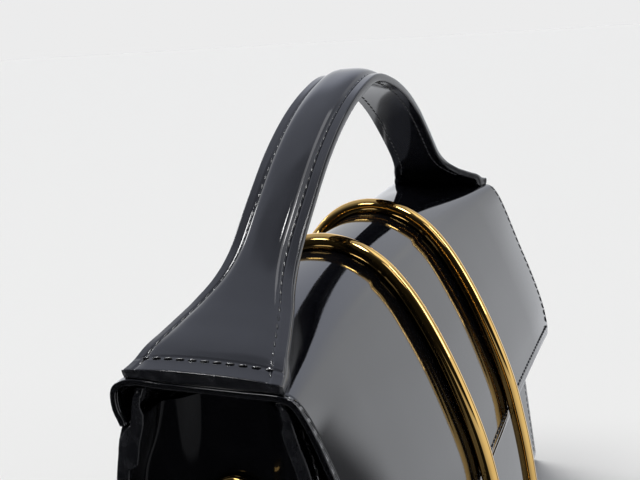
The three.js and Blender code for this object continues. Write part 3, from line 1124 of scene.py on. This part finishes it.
def makeTab(side, name):
    turn = ringTurns(side)[0]
    sections = []
    for across in spaced(-tabHalf, tabHalf, 12):
        sections.append([turn @ Vector((p.x, across, p.y)) for p in tabLine()])
    piece = shaped(
        name + "Tab", surface(sections), gussetLeather, outwards=False,
        thick=ring["tabLeather"] - 0.02, bevel=0.3, angle=60, smooth=1,
    )
    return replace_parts(piece, name + "_tab")


for side, name in ((-1, "left"), (1, "right")):
    makeRing(side, name)
    makeTab(side, name)
print("rings and tabs")

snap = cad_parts["snap"]
snap.data.materials.clear()
snap.data.materials.append(snapMetal)


# Stitches

sewing = {
    "pitch": 3.5,
    "length": 2.6,
    "width": 0.55,
    "height": 0.5,
    "lift": 0.08,
    "slant": 9,
    "reach": 0.8,
    "around": 8,
    "rings": 5,
}
fineSewing = {**sewing, "length": 3.15, "width": 0.34, "height": 0.24, "lift": 0.02}
heavySewing = {**sewing, "width": 0.7, "height": 0.75, "lift": 0.12}
smallSewing = {**sewing, "pitch": 2.6, "length": 1.9, "width": 0.45, "height": 0.4}


def addStitches(bm, spots, sizes):  # spots are (point, normal) pairs, close together along the seam
    marks = Track([point for point, normal in spots])
    count = max(1, int(marks.length / sizes["pitch"]))
    scale = [sizes[name] / 2 * mm for name in ("length", "width", "height")]
    shape = Matrix.Rotation(math.radians(sizes["slant"]), 4, "Z") @ Matrix.Diagonal((*scale, 1))
    shape = shape @ Matrix.Rotation(math.pi / 2, 4, "Y")
    for k in range(count):
        s = (k + 0.5) * marks.length / count
        ends = min(s + sizes["reach"], marks.length), max(s - sizes["reach"], 0)
        ahead = (marks.at(ends[0]) - marks.at(ends[1])).normalized()
        up = spots[min(range(len(spots)), key=lambda i: abs(marks.marks[i] - s))][1]
        up = (up - ahead * up.dot(ahead)).normalized()
        turn = Matrix((ahead, up.cross(ahead), up)).transposed().to_4x4()
        place = Matrix.Translation((marks.at(s) + up * sizes["lift"]) * mm)
        bmesh.ops.create_uvsphere(
            bm, u_segments=sizes["around"], v_segments=sizes["rings"], radius=1,
            matrix=place @ turn @ shape,
        )


def sewn(name, bm):
    return shaped(name, bm, blackThread)


def outerSpot(x, line, i):  # a point of a line across the bag, and the direction away from it
    inwards = beside(line, i)
    return Vector((x, line[i].x, line[i].y)), Vector((0, -inwards.x, -inwards.y))


def nearest(line, height, among):
    return min(among, key=lambda i: abs(line[i].y - height))


def sewFlap():
    bm = bmesh.new()
    reach = halfLength - flapSew["side"]
    bottom = flapBottom + flapSew["bottom"]
    for x in (-reach, reach):
        face = turnedIn(flapFace(x, 8))
        spots = [outerSpot(x, face, i) for i in range(len(face))]
        front = [s for s in spots if s[0].y < -topHalf - 0.5 and s[0].z > bottom]
        addStitches(bm, front, fineSewing)
    low, seam = [], []
    for x in spaced(-reach, reach, 96):
        face = turnedIn(flapFace(x, 8))
        low.append(outerSpot(x, face, nearest(face, bottom, range(len(face) // 2, len(face)))))
        seam.append(outerSpot(x, face, nearest(face, seamHeight + flapSew["seam"], range(len(face) // 3))))
    for row in (low, seam):
        addStitches(bm, row, sewing)
    return sewn("flapStitches", bm)


def sewHandle():
    bm = bmesh.new()
    band = handle["seamInset"]

    def top(spot, across):
        return handlePoint(spot, across, padLift(spot, across)), spot[2]

    for side in (-1, 1):
        addStitches(bm, [top(s, side * (s[1] - band)) for s in handleLine[3:-3]], sewing)
        below = []
        for s in handleLine:
            if abs(s[0].x) < halfLength * handleSew["below"]:
                below.append((handlePoint(s, side * (s[1] - band), underLift(s, s[1] - band)), -s[2]))
        addStitches(bm, below, sewing)
    for spots in (handleLine[:12], handleLine[-12:]):
        spot = min(spots, key=lambda s: abs(abs(s[0].x) - halfLength + handleSew["end"]))
        half = spot[1] - handleSew["reach"]
        addStitches(bm, [top(spot, y) for y in spaced(-half, half, 24)], heavySewing)
    return sewn("handleStitches", bm)


def sewPanels():
    bm = bmesh.new()
    tops = bodyHeight - panelSew["top"], seamHeight - panelSew["seam"]
    for x in (panelSew["end"] - bodyHalf, bodyHalf - panelSew["end"]):
        for side, rows, top in ((-1, frontLine(x), tops[0]), (1, wallLine, tops[1])):
            heights = spaced(panelSew["foot"], top, 60)
            face = [Vector((side * valueAt(rows, z), z)) for z in heights]
            spots = [outerSpot(x, face, i) for i in range(len(face))]
            addStitches(bm, [(point, -side * normal) for point, normal in spots], sewing)
    return sewn("panelStitches", bm)


def sewTab(side, name):
    bm = bmesh.new()
    turn = ringTurns(side)[0]
    out = turn.to_3x3() @ Vector((1, 0, 0))
    across = tabHalf - ring["tabSew"]
    face = tabLine()[-1].x + ring["tabLeather"] / 2
    low, high = ring["tabSew"] - ring["tabLength"], -ring["tabTaper"] - 1
    corners = [(-across, high), (-across, low), (across, low), (across, high)]
    corners = [Vector((face, y, z)) for y, z in corners]
    for a, b in zip(corners, corners[1:]):
        addStitches(bm, [(turn @ a.lerp(b, share), out) for share in spaced(0, 1, 20)], smallSewing)
    return sewn(name + "TabStitches", bm)


sewFlap()
handleStitches = sewHandle()
sewPanels()
sewTab(-1, "left")
sewTab(1, "right")
print("stitches")


# Stage

studio = {
    "floor": 5000,
    "floorShade": (0.8, 0.79, 0.755, 1),
    "floorSpeck": (0.77, 0.76, 0.73, 1),
    "backdrop": (0.838, 0.838, 0.84, 1),
    "onwards": (0.98, 0.2, 0),
    "ceilingStops": [
        (0, 0.012), (0.18, 0.02), (0.3, 0.12), (0.5, 0.29),
        (0.58, 0.45), (0.84, 0.46), (0.94, 0.88), (1, 0.95),
    ],
    "ceilingTint": (0.91, 0.96, 1.13),
    "wallStops": [  # degrees from the bag's length, level
        (-180, 0.008), (-101, 0.01), (-95, 1), (-60, 0.9), (-48, 0.2), (-39, 0.15), (-31, 0.95),
        (-15, 0.95), (0, 0.95), (60, 0.9), (85, 0.3), (110, 0.02), (180, 0.008),
    ],
    "tableStops": [
        (-180, 0.008), (-156, 0.01), (-150, 0.5), (-95, 0.8), (-60, 0.85), (-48, 0.2), (-39, 0.15),
        (-31, 1), (0, 1), (60, 0.95), (85, 0.3), (110, 0.02), (180, 0.008),
    ],
    "wallTint": (0.97, 0.99, 1.03),
    "wallTop": (0.2, 0.6),
    "lowStops": [(-90, 0.75), (-40, 0.85), (-24, 0.78), (-14, 0.98), (3, 1)],
    "sunPower": 2.9,
    "sunAngle": 60,
    "sunPlace": (0.25, 0.7, 1.1),
}
lamps = {  # place, target, width, height, power
    "window": ((0.43, 1.39, 0.49), (-0.07, 0, 0.19), 0.3, 0.45, 2.4),
    "ceilingLamp": ((-0.4, -0.32, 1.35), (-0.05, 0, 0.18), 0.2, 0.3, 3),
    "slimWindow": ((0.2, -1.69, 1.02), (0, 0, 0.15), 0.24, 1.3, 6),
    "sideWindow": ((-0.76, -1.31, 1.3), (0, 0, 0.16), 0.5, 0.6, 0.95),
    "sideLight": ((0.5, -1.1, 1.75), (0, 0, 0.15), 1.3, 0.9, 2.9),
    "glintLamp": ((-0.25, 0.75, 1.45), (-0.125, 0, 0.15), 0.3, 0.3, 24),
    "doorLamp": ((-1.05, 0.6, 1.2), (0, 0, 0.17), 0.3, 0.3, 1.6),
}


def makeFloor():
    paint = Paint("floorPaint")
    fine = paint.noise(3, 3.0)
    material = paint.finish({
        "Base Color": paint.blend(fine * 0.2, studio["floorShade"], studio["floorSpeck"]),
        "Roughness": 0.7,
        "Specular IOR Level": 0.2,
        "Normal": paint.bump(fine, 0.02),
    })
    bm = bmesh.new()
    bmesh.ops.create_grid(bm, x_segments=8, y_segments=8, size=studio["floor"] * mm)
    mesh = meshOf("floor", bm)
    mesh.materials.append(material)
    floor = bpy.data.objects.new("floor", mesh)
    floor.visible_glossy = False  # the room's own glow stands for it in the leather
    bpy.context.scene.collection.objects.link(floor)


def makeLamp(name, kind, power, direction):
    data = bpy.data.lights.new(name, kind)
    data.energy = power
    lamp = bpy.data.objects.new(name, data)
    lamp.rotation_euler = Vector(direction).to_track_quat("-Z", "Y").to_euler()
    bpy.context.scene.collection.objects.link(lamp)
    return lamp


def softBox(name, place, target, wide, high, power):
    lamp = makeLamp(name, "AREA", power, Vector(target) - Vector(place))
    lamp.data.shape = "RECTANGLE"
    lamp.data.size, lamp.data.size_y = wide, high
    lamp.location = place
    lamp.visible_diffuse = False
    return lamp


def makeSun():
    lamp = makeLamp("daylight", "SUN", studio["sunPower"], -Vector(studio["sunPlace"]))
    lamp.data.angle = math.radians(studio["sunAngle"])
    lamp.visible_glossy = False


def makeRoom():  # dim behind the camera, pale beyond the bag, with one dark pillar to its right
    room = Paint("studio", "worlds", "Generated")

    def ramp(share, stops, lightTint):
        stops = [(place, [level * part for part in lightTint]) for place, level in stops]
        return room.add("ShaderNodeValToRGB", {"stops": stops}, {0: share})

    def around(rows):
        stops = [(degrees / 360 + 0.5, level) for degrees, level in rows]
        return ramp(room.between(turn, -math.pi, math.pi), stops, studio["wallTint"])

    x, y, z = (room.axis(name) for name in "XYZ")
    towards = {0: room.place, 1: studio["onwards"]}
    onwards = room.add("ShaderNodeVectorMath", {"operation": "DOT_PRODUCT"}, towards, "Value")
    turn = y.maths("ARCTAN2", y, x)
    ceiling = ramp(room.between(onwards, -1, 1), studio["ceilingStops"], studio["ceilingTint"])
    walls, table = around(studio["wallStops"]), around(studio["tableStops"])
    walls = room.blend(room.between(z, -0.1, -0.03), table, walls)
    glow = room.blend(room.between(z, *studio["wallTop"]), walls, ceiling)
    stops = [(0.5 + math.sin(math.radians(degrees)) / 2, level / 2) for degrees, level in studio["lowStops"]]
    low = ramp(room.between(z, -1, 1), stops, (1, 1, 1))
    glow = room.add("ShaderNodeBackground", None, {"Color": glow, "Strength": low * 2})
    backdrop = room.add("ShaderNodeBackground", None, {"Color": studio["backdrop"]})
    seen = room.add("ShaderNodeLightPath", output="Is Camera Ray")
    both = room.add("ShaderNodeMixShader", None, {0: seen, 1: glow, 2: backdrop})
    room.add("ShaderNodeOutputWorld", None, {"Surface": both})
    bpy.context.scene.world = room.owner


makeFloor()
makeRoom()
makeSun()
for name, sizes in lamps.items():
    softBox(name, *sizes)
glints = bpy.data.collections.new("glints")
bpy.data.objects["glintLamp"].light_linking.receiver_collection = glints
for piece in (handleEdges, handleStitches):  # that lamp only touches the sewing and the painted edge
    glints.objects.link(piece)
bpy.context.scene.view_settings.view_transform = "Standard"
print("stage")
